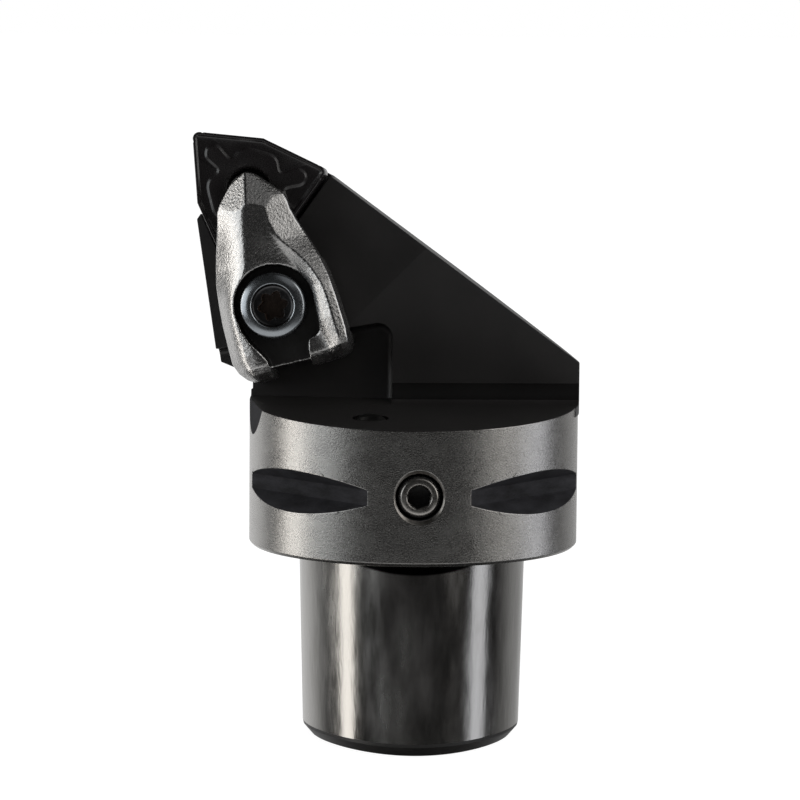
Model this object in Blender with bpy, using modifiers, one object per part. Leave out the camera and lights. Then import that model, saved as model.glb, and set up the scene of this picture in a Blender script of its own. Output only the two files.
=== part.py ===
"""Turning tool holder: polygonal hollow taper shank, flange, offset head, trigon insert and top clamp.

Metres, +Z up along the tool axis. The tool stands on its shank's end face, and the origin lies at
the middle of the whole tool's footprint, so the tool axis is beside it by AXIS_X.
"""
import math

import bmesh
import bpy
from mathutils import Matrix, Vector

# Clearances between pieces
GAP = 0.0003
WALL_GAP = 0.0004

# Shank: mean diameter and lobe size at the flange, taper on the diameter, length, relief groove
SHANK_MEAN_D = 0.0275
SHANK_LOBE = 0.0009
SHANK_TAPER = 1 / 20
SHANK_LENGTH = 0.0240
SHANK_CHAMFER_RUN = 0.0016
SHANK_CHAMFER_IN = 0.0011
RELIEF_WIDTH = 0.0010
RELIEF_DEPTH = 0.0003

# Flange and the sloping shelf above it
FLANGE_D = 0.0400
FLANGE_HEIGHT = 0.0161
FLANGE_CHAMFER = 0.0004
SHELF_SLOPE = math.radians(4.1)
SHELF_FILLET = 0.0025

# Bore of the shank: mouth, clamping groove, drawbolt thread and coolant bore
BORE_D = 0.0180
BORE_CHAMFER = 0.0008
BORE_DEPTH = 0.0160
GROOVE_D = 0.0210
GROOVE_START = 0.0075
GROOVE_WIDTH = 0.0030
THREAD_D = 0.0124
THREAD_LENGTH = 0.0110
COOLANT_BORE_D = 0.0060
COOLANT_BORE_LENGTH = 0.0060

# Straight gripper slots round the flange
SLOT_ANGLE = math.radians(48.6)
SLOT_HALF_ANGLE = math.radians(30.8)
SLOT_FLOOR = 0.0018
SLOT_FLANK = math.radians(30)
SLOT_HEIGHT_UP = 0.0081

# Cutting tip: reach from the tool axis, height above the flange's contact face, seat tilt
TIP_REACH = 0.0270
TIP_HEIGHT = 0.0500
SEAT_TILT = math.radians(6)

# Head: front faces, slope, overhang and back
HEAD_PROUD = 0.00015
HEAD_PLAN_START = -math.radians(24)
HEAD_FACE_DROP = 0.0030
HEAD_FRONT_Y = -0.0014
HEAD_SLOPE = math.radians(36.3)
HEAD_SLOPE_START_X = -0.0112
HEAD_SLOPE_START_Z = 0.0454
OVERHANG_TOP_X = -0.0265
OVERHANG_TOP_Z = 0.0393
OVERHANG_FOOT_X = -0.0239
OVERHANG_FOOT_Z = 0.0221
OVERHANG_HEEL_X = -0.0216
OVERHANG_HEEL_Z = 0.0212
NECK_Z = 0.0200
SEAT_INSET = 0.0011
HEAD_BACK_X = -0.0300
HEAD_BACK_Y = 0.0140
BACK_SLOPE = math.radians(12.8)
BACK_SLOPE_START = 0.0280
HEAD_DEPTH = 0.0330

# Milled facet where the head's left side runs out in the flange
FACET_Z = 0.0162
FACET_TURN = math.radians(11.4)
FACET_LEAN = math.radians(6.5)

# Insert and shim: inscribed circle, nose radius, thickness, hole
INSERT_IC = 0.0127
INSERT_NOSE = 0.0008
INSERT_THICKNESS = 0.00476
INSERT_HOLE_D = 0.00516
INSERT_CORNER = math.radians(80)
INSERT_AIM = math.radians(135)
INSERT_EDGE_ROUND = 0.0001
CHIP_GROOVE_WIDTH = 0.0011
CHIP_GROOVE_DEPTH = 0.00022
CHIP_GROOVE_LAND = 0.0006
SHIM_IN = 0.00035
SHIM_THICKNESS = 0.00476
SHIM_HOLE_D = 0.0056
SHIM_CHAMFER = 0.0003

# Shim screw
SHIM_SCREW_D = 0.0050
SHIM_SCREW_HEAD_D = 0.0071
SHIM_SCREW_REACH = 0.0042
SHIM_SCREW_SOCKET_D = 0.0034
SHIM_SCREW_SOCKET_DEPTH = 0.0018

# Clamp: place of its screw on the seat plane, lean of its axis, lengths along it
CLAMP_P = 0.0104
CLAMP_Q = -0.0209
CLAMP_LEAN = math.radians(13.5)
CLAMP_NOSE = 0.0165
CLAMP_TAIL = 0.0082
CLAMP_TAIL_SKEW = 0.05
CLAMP_WIDTH = 0.0146
CLAMP_OFF = 0.0005
CLAMP_NOSE_TIP = 0.0011
CLAMP_NOSE_WIDTH = 0.0038
CLAMP_TIP_H = 0.0026
CLAMP_SPLIT_H = 0.0041
CLAMP_RIDGE_H = 0.0062
CLAMP_TAIL_H = 0.0050
CLAMP_EDGE_H = 0.0029
CLAMP_VALLEY_DROP = 0.0012
CLAMP_BELLY_H = -0.0017
CLAMP_BELLY_START = 0.0046
RECESS_D = 0.0099
RECESS_OFF = 0.0003
RECESS_FLOOR_H = 0.0012
TAIL_SLOT_WIDTH = 0.0050
TAIL_EDGE = 0.0072
TAIL_TIP_ROUND = 0.0022
NOSE_PIN_D = 0.0042
NOSE_PIN_LENGTH = 0.0022
HEEL_START = 0.0048
HEEL_BOTTOM_H = -0.0062

# Pocket behind the clamp's heel
HEEL_POCKET_REACH = 0.0143
HEEL_POCKET_CORNER = 0.0011
HEEL_POCKET_TILT = math.radians(3.6)

# Clamp screw and its spring
CLAMP_SCREW_D = 0.0060
CLAMP_HEAD_D = 0.0080
CLAMP_HEAD_H = 0.0026
CLAMP_HEAD_BEVEL = 0.0004
CLAMP_DISH_D = 0.0054
CLAMP_DISH_DEPTH = 0.0004
CLAMP_SOCKET_D = 0.0037
CLAMP_SOCKET_DEPTH = 0.0021
CLAMP_SCREW_END_H = -0.0150
SPRING_D = 0.0084
SPRING_WIRE = 0.0009
SPRING_TURNS = 3
SPRING_SEAT_H = -0.0066

# Plug screw at the flange's front
PLUG_D = 0.0050
PLUG_LENGTH = 0.0060
PLUG_HEX = 0.0025
PLUG_HEX_DEPTH = 0.0025
PLUG_SINK = 0.0004
PLUG_Z = 0.00825
PLUG_MOUTH_D = 0.0065
CHANNEL_D = 0.0036

# Ball nozzle in the shelf
NOZZLE_X = -0.0056
NOZZLE_IN = 0.0085
NOZZLE_BALL_D = 0.0058
NOZZLE_PROUD = 0.0005
NOZZLE_JET_D = 0.0014
NOZZLE_FEED_D = 0.0026

# Smoothness of the round shapes
ROUND = 80
ROUND_BORE = 48
ROUND_SMALL = 32
SHANK_POINTS = 90
NOSE_STEPS = 6

# Values that follow from the sizes above
AXIS_X = (TIP_REACH - FLANGE_D / 2) / 2
FLANGE_Z = SHANK_LENGTH
FLANGE_R = FLANGE_D / 2
INSERT_R = INSERT_IC / 2
HALF_CORNER = INSERT_CORNER / 2
SHIM_TOP_H = -INSERT_THICKNESS - GAP
SHIM_FOOT_H = SHIM_TOP_H - SHIM_THICKNESS
POCKET_FLOOR_H = SHIM_FOOT_H - GAP
CENTRE_REACH = INSERT_NOSE + (INSERT_R - INSERT_NOSE) / math.sin(HALF_CORNER) * math.cos(math.pi / 4)
FAR = 0.06


def clear_scene():
    """Remove the objects of an open scene and make the two collections."""
    for obj in list(bpy.data.objects):
        bpy.data.objects.remove(obj, do_unlink=True)
    parts = bpy.data.collections.new("turning_tool_holder")
    cutters = bpy.data.collections.new("cutters")
    for collection in (parts, cutters):
        bpy.context.scene.collection.children.link(collection)
    return parts, cutters


PARTS, CUTTERS = clear_scene()


def material(name, colour, roughness, metallic):
    mat = bpy.data.materials.new(name)
    mat.use_nodes = True
    shader = mat.node_tree.nodes["Principled BSDF"]
    shader.inputs["Base Color"].default_value = (*colour, 1)
    shader.inputs["Roughness"].default_value = roughness
    shader.inputs["Metallic"].default_value = metallic
    mat.diffuse_color = (*colour, 1)
    return mat


def empty(name, location, rotation=(0, 0, 0), parent=None):
    obj = bpy.data.objects.new(name, None)
    obj.empty_display_size = 0.01
    obj.location = location
    obj.rotation_euler = rotation
    obj.parent = parent
    PARTS.objects.link(obj)
    return obj


def add(name, mesh, parent, mat=None, cutter=False):
    """Put a mesh in the scene as a part, or as a hidden cutter."""
    obj = bpy.data.objects.new(name, mesh)
    obj.parent = parent
    (CUTTERS if cutter else PARTS).objects.link(obj)
    if mat:
        mesh.materials.append(mat)
    if cutter:
        obj.hide_render = True
        obj.display_type = "WIRE"
    return obj


def cut(target, tool, operation="DIFFERENCE"):
    mod = target.modifiers.new(operation.lower() + " " + tool.name, "BOOLEAN")
    mod.operation = operation
    mod.solver = "EXACT"
    mod.object = tool


def turned(name, profile, parent, mat=None, cutter=False, steps=ROUND):
    """Revolve a profile of (radius, height) points, listed from top to bottom, about local Z."""
    mesh = bpy.data.meshes.new(name)
    points = [(radius, 0, height) for radius, height in profile]
    mesh.from_pydata(points, [(k, k + 1) for k in range(len(points) - 1)], [])
    obj = add(name, mesh, parent, mat, cutter)
    screw = obj.modifiers.new("turn", "SCREW")
    screw.axis = "Z"
    screw.steps = screw.render_steps = steps
    screw.use_merge_vertices = True
    screw.merge_threshold = 0.00001
    screw.use_smooth_shade = False
    return obj


def cylinder(name, radius, low, high, parent, mat=None, cutter=True, steps=ROUND_SMALL):
    mesh = bpy.data.meshes.new(name)
    bm = bmesh.new()
    place = Matrix.Translation((0, 0, (low + high) / 2))
    bmesh.ops.create_cone(bm, cap_ends=True, segments=steps, radius1=radius, radius2=radius,
                          depth=high - low, matrix=place)
    bm.to_mesh(mesh)
    bm.free()
    return add(name, mesh, parent, mat, cutter)


def box(name, low, high, parent):
    mesh = bpy.data.meshes.new(name)
    bm = bmesh.new()
    size = [b - a for a, b in zip(low, high)]
    middle = [(a + b) / 2 for a, b in zip(low, high)]
    place = Matrix.Translation(middle) @ Matrix.Diagonal((*size, 1))
    bmesh.ops.create_cube(bm, size=1, matrix=place)
    bm.to_mesh(mesh)
    bm.free()
    return add(name, mesh, parent, cutter=True)


def prism(name, outline, low, high, parent, mat=None, cutter=True):
    """Extrude a flat outline of (x, y) points from low to high along local Z."""
    curve = bpy.data.curves.new(name, "CURVE")
    curve.dimensions = "2D"
    curve.fill_mode = "BOTH"
    curve.extrude = (high - low) / 2
    spline = curve.splines.new("POLY")
    spline.points.add(len(outline) - 1)
    for point, (x, y) in zip(spline.points, outline):
        point.co = (x, y, 0, 1)
    spline.use_cyclic_u = True
    source = bpy.data.objects.new(name, curve)
    PARTS.objects.link(source)
    bpy.context.view_layer.update()
    graph = bpy.context.evaluated_depsgraph_get()
    mesh = bpy.data.meshes.new_from_object(source.evaluated_get(graph))
    bpy.data.objects.remove(source, do_unlink=True)
    bpy.data.curves.remove(curve)
    bm = bmesh.new()
    bm.from_mesh(mesh)
    bmesh.ops.translate(bm, verts=bm.verts, vec=(0, 0, (low + high) / 2))
    bmesh.ops.remove_doubles(bm, verts=bm.verts, dist=0.000001)
    bmesh.ops.recalc_face_normals(bm, faces=bm.faces)
    bm.to_mesh(mesh)
    bm.free()
    mesh.name = name
    return add(name, mesh, parent, mat, cutter)


def loft(name, rings, parent, mat=None, cutter=False):
    """Skin closed rings of equal point counts, and close both ends."""
    mesh = bpy.data.meshes.new(name)
    bm = bmesh.new()
    rows = [[bm.verts.new(point) for point in ring] for ring in rings]
    for lower, upper in zip(rows, rows[1:]):
        for k in range(len(lower)):
            j = (k + 1) % len(lower)
            bm.faces.new((lower[k], lower[j], upper[j], upper[k]))
    bm.faces.new(rows[0])
    bm.faces.new(rows[-1])
    bmesh.ops.recalc_face_normals(bm, faces=bm.faces)
    bm.to_mesh(mesh)
    bm.free()
    return add(name, mesh, parent, mat, cutter)


def smooth(obj, angle=35):
    obj.data.shade_smooth()
    obj.data.set_sharp_from_angle(angle=math.radians(angle))


def trigon(inscribed, nose):
    """Outline of the three-cornered insert form about its centre, noses rounded."""
    points = []
    normal_turn = math.pi / 2 - HALF_CORNER
    nose_reach = (inscribed - nose) / math.sin(HALF_CORNER)
    waist_reach = inscribed / math.cos(math.pi / 3 - normal_turn)
    for corner in range(3):
        aim = INSERT_AIM + corner * math.tau / 3
        for step in range(NOSE_STEPS + 1):
            turn = aim + normal_turn * (2 * step / NOSE_STEPS - 1)
            points.append((nose_reach * math.cos(aim) + nose * math.cos(turn),
                           nose_reach * math.sin(aim) + nose * math.sin(turn)))
        waist = aim + math.pi / 3
        points.append((waist_reach * math.cos(waist), waist_reach * math.sin(waist)))
    return points


def shank_ring(mean_d, height):
    """Section of the shank: a rounded three-lobe polygon with one lobe towards -Y."""
    ring = []
    for k in range(SHANK_POINTS):
        g = math.tau * k / SHANK_POINTS
        u = mean_d / 2 * math.cos(g) - SHANK_LOBE * math.cos(2 * g)
        v = mean_d / 2 * math.sin(g) + SHANK_LOBE * math.sin(2 * g)
        ring.append((-v, u, height))
    return ring


def lobes(outer, count=6, points=6):
    """Outline of a six-lobe socket."""
    middle, swing = outer * 0.435, outer * 0.065
    outline = []
    for k in range(count * points):
        turn = math.tau * k / (count * points)
        radius = middle + swing * math.cos(count * turn)
        outline.append((radius * math.cos(turn), radius * math.sin(turn)))
    return outline


def hexagon(flats):
    reach = flats / 2 / math.cos(math.pi / 6)
    turns = [math.tau * k / 6 for k in range(6)]
    return [(reach * math.cos(turn), reach * math.sin(turn)) for turn in turns]


# Materials, one for each kind of piece
BODY_STEEL = material("body_steel", (0.035, 0.033, 0.034), 0.35, 0.9)
CARBIDE = material("coated_carbide", (0.03, 0.027, 0.03), 0.4, 0.5)
SHIM_STEEL = material("shim_carbide", (0.22, 0.22, 0.23), 0.45, 0.9)
CLAMP_STEEL = material("tumbled_steel", (0.50, 0.49, 0.47), 0.42, 1.0)
SCREW_STEEL = material("polished_screw", (0.36, 0.39, 0.43), 0.2, 1.0)
DARK_SCREW = material("dark_screw", (0.10, 0.10, 0.10), 0.4, 0.9)
SPRING_STEEL = material("spring_steel", (0.42, 0.42, 0.44), 0.3, 1.0)
NOZZLE_STEEL = material("nozzle_steel", (0.12, 0.12, 0.12), 0.35, 0.9)

# Frames: the tool axis, the insert's seat with its corner at the tip, and the clamp's screw
TOOL = empty("tool_axis", (AXIS_X, 0, 0))
SEAT = empty("insert_seat", (-TIP_REACH, 0, FLANGE_Z + TIP_HEIGHT),
             (math.pi / 2 - SEAT_TILT, 0, -SEAT_TILT), TOOL)
CENTRE = empty("insert_centre", (CENTRE_REACH, -CENTRE_REACH, 0), parent=SEAT)
CLAMP_AXIS = empty("clamp_axis", (CLAMP_P, CLAMP_Q, 0), (0, 0, CLAMP_LEAN), SEAT)
bpy.context.view_layer.update()
SEAT_TO_TOOL = TOOL.matrix_world.inverted() @ SEAT.matrix_world


def on_head_face(x, z):
    """Seat coordinates of the point of the head's tilted face that shows at x, z from the front."""
    across, up, out = (SEAT_TO_TOOL.col[k].xyz for k in range(3))
    start = SEAT_TO_TOOL.translation - out * HEAD_FACE_DROP
    dx, dz = x - start.x, z + FLANGE_Z - start.z
    det = across.x * up.z - up.x * across.z
    return ((dx * up.z - up.x * dz) / det, (across.x * dz - dx * across.z) / det)


def seat_block_corners(inset):
    """Left waist, corner and top waist of the block under the insert, inset from its edges."""
    inner = INSERT_R - inset
    corner = inner / math.sin(HALF_CORNER)
    waist = inner / math.cos(math.pi / 3 - (math.pi / 2 - HALF_CORNER))
    points = []
    for radius, turn in ((waist, math.pi / 3), (corner, 0), (waist, -math.pi / 3)):
        aim = INSERT_AIM + turn
        points.append((CENTRE_REACH + radius * math.cos(aim), -CENTRE_REACH + radius * math.sin(aim)))
    return points


def make_body():
    """Shank, flange and head are turned and milled from one bar of steel."""
    at_end = SHANK_MEAN_D - SHANK_LENGTH * SHANK_TAPER
    mean = lambda z: at_end + z * SHANK_TAPER
    relief = SHANK_LENGTH - RELIEF_WIDTH
    rings = [shank_ring(at_end - 2 * SHANK_CHAMFER_IN, 0),
             shank_ring(mean(SHANK_CHAMFER_RUN), SHANK_CHAMFER_RUN),
             shank_ring(mean(relief), relief),
             shank_ring(mean(relief) - 2 * RELIEF_DEPTH, relief + RELIEF_DEPTH),
             shank_ring(mean(relief) - 2 * RELIEF_DEPTH, SHANK_LENGTH - RELIEF_DEPTH),
             shank_ring(SHANK_MEAN_D, SHANK_LENGTH), shank_ring(SHANK_MEAN_D, SHANK_LENGTH + GAP)]
    body = loft("holder_body", rings, TOOL, BODY_STEEL)

    neck_top = FLANGE_Z + FLANGE_HEIGHT + FLANGE_R * math.tan(SHELF_SLOPE)
    flange = turned("flange_stock", [(0, neck_top), (FLANGE_R, neck_top),
                                     (FLANGE_R, FLANGE_Z + FLANGE_CHAMFER),
                                     (FLANGE_R - FLANGE_CHAMFER, FLANGE_Z), (0, FLANGE_Z)],
                    TOOL, cutter=True)
    cut(body, flange, "UNION")
    cut(body, make_head(), "UNION")
    cut(body, make_shelf())
    for tool in make_seat_cutters() + make_bore_cutters() + make_slots() + make_channels():
        cut(body, tool)
    smooth(body)
    return body


def make_head():
    """The head's front outline, carried back square to the insert's seat."""
    slope_end = FLANGE_R * 1.1
    drop = (slope_end - HEAD_SLOPE_START_X) * math.tan(HEAD_SLOPE)
    root = FLANGE_HEIGHT * 0.6
    outline = [on_head_face(HEAD_SLOPE_START_X, HEAD_SLOPE_START_Z),
               on_head_face(slope_end, HEAD_SLOPE_START_Z - drop),
               on_head_face(slope_end, root),
               on_head_face(-FLANGE_R, root),
               on_head_face(-FLANGE_R, NECK_Z),
               on_head_face(OVERHANG_HEEL_X, OVERHANG_HEEL_Z),
               on_head_face(OVERHANG_FOOT_X, OVERHANG_FOOT_Z),
               on_head_face(OVERHANG_TOP_X, OVERHANG_TOP_Z)]
    outline += seat_block_corners(SEAT_INSET)
    head = prism("head_stock", outline[::-1], -HEAD_DEPTH, -HEAD_FACE_DROP, SEAT)

    radius = FLANGE_R + HEAD_PROUD
    reach = math.hypot(HEAD_BACK_X, HEAD_BACK_Y)
    touch = math.atan2(HEAD_BACK_Y, HEAD_BACK_X) - math.acos(radius / reach)
    plan = [(HEAD_BACK_X, radius * math.sin(HEAD_PLAN_START))]
    arc_steps = ROUND // 3
    for k in range(arc_steps + 1):
        turn = HEAD_PLAN_START + (touch - HEAD_PLAN_START) * k / arc_steps
        plan.append((radius * math.cos(turn), radius * math.sin(turn)))
    plan.append((HEAD_BACK_X, HEAD_BACK_Y))
    envelope = prism("head_plan", plan, FLANGE_Z + FLANGE_HEIGHT, FLANGE_Z + TIP_HEIGHT * 1.1, TOOL)
    cut(head, envelope, "INTERSECT")

    back = box("back_slope", (-FAR, 0, -FAR / 4), (FAR, FAR / 2, FAR), TOOL)
    back.location = (0, FLANGE_R, FLANGE_Z + BACK_SLOPE_START)
    back.rotation_euler = (BACK_SLOPE, 0, 0)
    cut(head, back)
    return head


def make_shelf():
    """Mills the sloping shelf, the fillet behind it and the head's upright front face."""
    rise = lambda y: FLANGE_Z + FLANGE_HEIGHT + (y + FLANGE_R) * math.tan(SHELF_SLOPE)
    centre_y = HEAD_FRONT_Y - SHELF_FILLET
    centre_z = rise(centre_y) + SHELF_FILLET / math.cos(SHELF_SLOPE)
    steps = 8
    section = [(-FAR / 2, rise(-FAR / 2))]
    for k in range(steps + 1):
        turn = -math.pi / 2 + SHELF_SLOPE + (math.pi / 2 - SHELF_SLOPE) * k / steps
        section.append((centre_y + SHELF_FILLET * math.cos(turn),
                        centre_z + SHELF_FILLET * math.sin(turn)))
    section += [(HEAD_FRONT_Y, FLANGE_Z + FAR), (-FAR / 2, FLANGE_Z + FAR)]
    shelf = prism("shelf_mill", section, -FAR / 2, FAR / 2, TOOL)
    shelf.rotation_euler = (math.pi / 2, 0, math.pi / 2)
    return shelf


def make_seat_cutters():
    """Insert pocket, screw holes, heel pocket, and the facet at the left of the flange."""
    pocket = prism("insert_pocket", trigon(INSERT_R + WALL_GAP, INSERT_NOSE), POCKET_FLOOR_H, FAR / 4,
                   CENTRE)
    shim_hole = cylinder("shim_screw_hole", SHIM_SCREW_D / 2 + GAP,
                         POCKET_FLOOR_H - SHIM_SCREW_REACH - GAP, POCKET_FLOOR_H + GAP, CENTRE)
    screw_r = CLAMP_SCREW_D / 2 + GAP
    clamp_hole = turned("clamp_screw_hole",
                        [(0, FAR / 4), (SPRING_D / 2 + 2 * GAP, FAR / 4),
                         (SPRING_D / 2 + 2 * GAP, SPRING_SEAT_H), (screw_r, SPRING_SEAT_H),
                         (screw_r, CLAMP_SCREW_END_H - GAP), (0, CLAMP_SCREW_END_H - GAP - screw_r / 2)],
                        CLAMP_AXIS, cutter=True, steps=ROUND_SMALL)
    flank = CLAMP_WIDTH / 2 + CLAMP_OFF * 1.3
    top = lambda t: WALL_GAP - HEEL_START + (flank - t) * math.tan(HEEL_POCKET_TILT)
    side = lambda s: HEEL_POCKET_REACH + s * math.tan(CLAMP_LEAN)
    corner_s = top(HEEL_POCKET_REACH) - HEEL_POCKET_CORNER
    corner_t = side(corner_s) - HEEL_POCKET_CORNER
    heel = prism("heel_pocket", [(-FAR, top(-FAR)), (-FAR, -FAR), (side(-FAR), -FAR),
                                 (side(corner_s), corner_s), (corner_t, top(corner_t))],
                 HEEL_BOTTOM_H - GAP, FAR / 4, CLAMP_AXIS)
    shelf_guard = box("above_shelf", (-FAR, -FAR, -FAR), (FAR, FAR, 0), TOOL)
    shelf_guard.location = (0, -FLANGE_R, FLANGE_Z + FLANGE_HEIGHT)
    shelf_guard.rotation_euler = (SHELF_SLOPE, 0, 0)
    cut(heel, shelf_guard)
    facet = box("left_facet", (-FAR / 4, -FAR / 2, -FAR / 4), (0, FLANGE_R / 4, FAR / 20), TOOL)
    facet.location = (-FLANGE_R, 0, FLANGE_Z + FACET_Z)
    facet.rotation_euler = (0, FACET_LEAN, FACET_TURN)
    return [pocket, shim_hole, clamp_hole, heel, facet]


def make_bore_cutters():
    """The bore turned in from the shank's end: mouth, clamping groove, thread and coolant bore."""
    radius = BORE_D / 2
    groove = GROOVE_D / 2
    step = groove - radius
    thread = THREAD_D / 2
    coolant = COOLANT_BORE_D / 2
    thread_top = BORE_DEPTH + THREAD_LENGTH
    top = thread_top + thread - coolant + COOLANT_BORE_LENGTH
    profile = [(0, top + coolant / 2), (coolant, top), (coolant, thread_top + thread - coolant),
               (thread, thread_top), (thread, BORE_DEPTH), (radius, BORE_DEPTH),
               (radius, GROOVE_START + GROOVE_WIDTH + step), (groove, GROOVE_START + GROOVE_WIDTH),
               (groove, GROOVE_START), (radius, GROOVE_START - step), (radius, BORE_CHAMFER),
               (radius + BORE_CHAMFER + GAP, -GAP), (0, -GAP)]
    return [turned("shank_bore", profile, TOOL, cutter=True, steps=ROUND_BORE)]


def make_slots():
    """Two pairs of straight slots that a tool changer's gripper holds."""
    floor_y = FLANGE_R * math.cos(SLOT_HALF_ANGLE)
    out_y = FLANGE_R * 1.1
    flare = (out_y - floor_y) * math.tan(SLOT_FLANK)
    half = SLOT_FLOOR / 2
    section = [(floor_y, -half), (out_y, -half - flare), (out_y, half + flare), (floor_y, half)]
    slots = []
    for side in (-1, 1):
        for turn in (-SLOT_ANGLE, SLOT_ANGLE):
            name = "slot_{}_{}".format("front" if side < 0 else "back", "left" if turn < 0 else "right")
            slot = prism(name, section, -FLANGE_R, FLANGE_R, TOOL)
            slot.location = (0, 0, FLANGE_Z + SLOT_HEIGHT_UP)
            slot.rotation_euler = (math.pi / 2, 0, turn + side * math.pi / 2)
            slots.append(slot)
    return slots


def make_channels():
    """Hole for the plug screw, its channel to the bore, and the nozzle's seat and feed."""
    plug_r = PLUG_D / 2 + GAP
    mouth = PLUG_MOUTH_D / 2
    inner = FLANGE_R - PLUG_SINK - PLUG_LENGTH - GAP
    channel = CHANNEL_D / 2
    hole = turned("plug_hole", [(0, FLANGE_R * 1.1), (mouth, FLANGE_R * 1.1), (mouth, FLANGE_R),
                                (plug_r, FLANGE_R - (mouth - plug_r)), (plug_r, inner),
                                (channel, inner), (channel, 0), (0, 0)],
                  TOOL, cutter=True, steps=ROUND_SMALL)
    hole.location = (0, 0, FLANGE_Z + PLUG_Z)
    hole.rotation_euler = (math.pi / 2, 0, 0)

    centre = nozzle_centre()
    seat = sphere("nozzle_seat", NOZZLE_BALL_D / 2 + GAP, centre)
    target = Vector((0, centre.y, FLANGE_Z + PLUG_Z))
    way = target - centre
    feed = cylinder("nozzle_feed", NOZZLE_FEED_D / 2, 0, way.length, TOOL, steps=ROUND_SMALL // 2)
    feed.location = centre
    feed.rotation_mode = "QUATERNION"
    feed.rotation_quaternion = way.to_track_quat("Z", "Y")
    return [hole, seat, feed]


def nozzle_centre():
    shelf = FLANGE_Z + FLANGE_HEIGHT + NOZZLE_IN * math.tan(SHELF_SLOPE)
    return Vector((NOZZLE_X, NOZZLE_IN - FLANGE_R, shelf + NOZZLE_PROUD - NOZZLE_BALL_D / 2))


def sphere(name, radius, centre, mat=None, cutter=True):
    mesh = bpy.data.meshes.new(name)
    bm = bmesh.new()
    bmesh.ops.create_uvsphere(bm, u_segments=24, v_segments=14, radius=radius)
    bm.to_mesh(mesh)
    bm.free()
    obj = add(name, mesh, TOOL, mat, cutter)
    obj.location = centre
    return obj


def make_insert():
    """Indexable insert with six edges, a shallow chip groove along them and a plain hole."""
    insert = prism("insert", trigon(INSERT_R, INSERT_NOSE), -INSERT_THICKNESS, 0, CENTRE, CARBIDE,
                   cutter=False)
    edge = insert.modifiers.new("edge round", "BEVEL")
    edge.width = INSERT_EDGE_ROUND
    edge.segments = 1
    edge.limit_method = "ANGLE"
    edge.angle_limit = math.radians(60)
    cut(insert, groove_cutter("chip_groove_top"))
    cut(insert, groove_cutter("chip_groove_foot", foot=True))
    hole = cylinder("insert_hole", INSERT_HOLE_D / 2, -INSERT_THICKNESS - GAP, GAP, CENTRE)
    cut(insert, hole)
    smooth(insert)
    return insert


def groove_cutter(name, foot=False):
    """A shallow groove inside the insert's edges: steep from the land, then a long way back up."""
    side = 1 if foot else -1
    base = -INSERT_THICKNESS if foot else 0
    start = INSERT_R - CHIP_GROOVE_LAND
    section = [(start, -GAP), (start, 0), (start - CHIP_GROOVE_WIDTH * 0.4, CHIP_GROOVE_DEPTH),
               (start - CHIP_GROOVE_WIDTH, 0), (start - CHIP_GROOVE_WIDTH, -GAP)]
    mesh = bpy.data.meshes.new(name)
    bm = bmesh.new()
    rows = [[bm.verts.new((x, y, base + side * depth)) for x, y in trigon(inscribed, INSERT_NOSE / 2)]
            for inscribed, depth in section]
    for one, two in zip(rows, rows[1:] + rows[:1]):
        for k in range(len(one)):
            j = (k + 1) % len(one)
            bm.faces.new((one[k], one[j], two[j], two[k]))
    bmesh.ops.recalc_face_normals(bm, faces=bm.faces)
    bm.to_mesh(mesh)
    bm.free()
    return add(name, mesh, CENTRE, cutter=True)


def make_shim():
    """Ground carbide plate under the insert, held by its own countersunk screw."""
    shim = prism("shim", trigon(INSERT_R - SHIM_IN, INSERT_NOSE), SHIM_FOOT_H, SHIM_TOP_H, CENTRE,
                 SHIM_STEEL, cutter=False)
    bevel = shim.modifiers.new("edge chamfer", "BEVEL")
    bevel.width = SHIM_CHAMFER
    bevel.segments = 1
    bevel.limit_method = "ANGLE"
    bevel.angle_limit = math.radians(60)
    hole = SHIM_HOLE_D / 2
    head = SHIM_SCREW_HEAD_D / 2 + GAP
    sink = head - hole
    rim = SHIM_TOP_H - 3 * GAP
    tool = turned("shim_hole", [(0, SHIM_TOP_H + GAP), (head, SHIM_TOP_H + GAP), (head, rim),
                                (hole, rim - sink), (hole, SHIM_FOOT_H - GAP), (0, SHIM_FOOT_H - GAP)],
                  CENTRE, cutter=True, steps=ROUND_SMALL)
    cut(shim, tool)
    smooth(shim)


def make_shim_screw():
    radius = SHIM_SCREW_D / 2
    head = SHIM_SCREW_HEAD_D / 2
    top = SHIM_TOP_H - GAP
    foot = POCKET_FLOOR_H - SHIM_SCREW_REACH
    screw = turned("shim_screw", [(0, top), (head, top), (head, top - GAP),
                                  (radius, top - GAP - (head - radius)), (radius, foot + GAP),
                                  (radius - GAP, foot), (0, foot)],
                   CENTRE, DARK_SCREW, steps=ROUND_SMALL)
    socket = prism("shim_screw_socket", lobes(SHIM_SCREW_SOCKET_D), top - SHIM_SCREW_SOCKET_DEPTH,
                   top + GAP, CENTRE)
    cut(screw, socket)
    smooth(screw)


def blend(points, at):
    """Read a smooth curve through (place, value) points that run upwards in place."""
    if at <= points[0][0]:
        return points[0][1]
    for (a, u), (b, v) in zip(points, points[1:]):
        if at <= b:
            f = (at - a) / (b - a)
            return u + (v - u) * f
    return points[-1][1]


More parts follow.
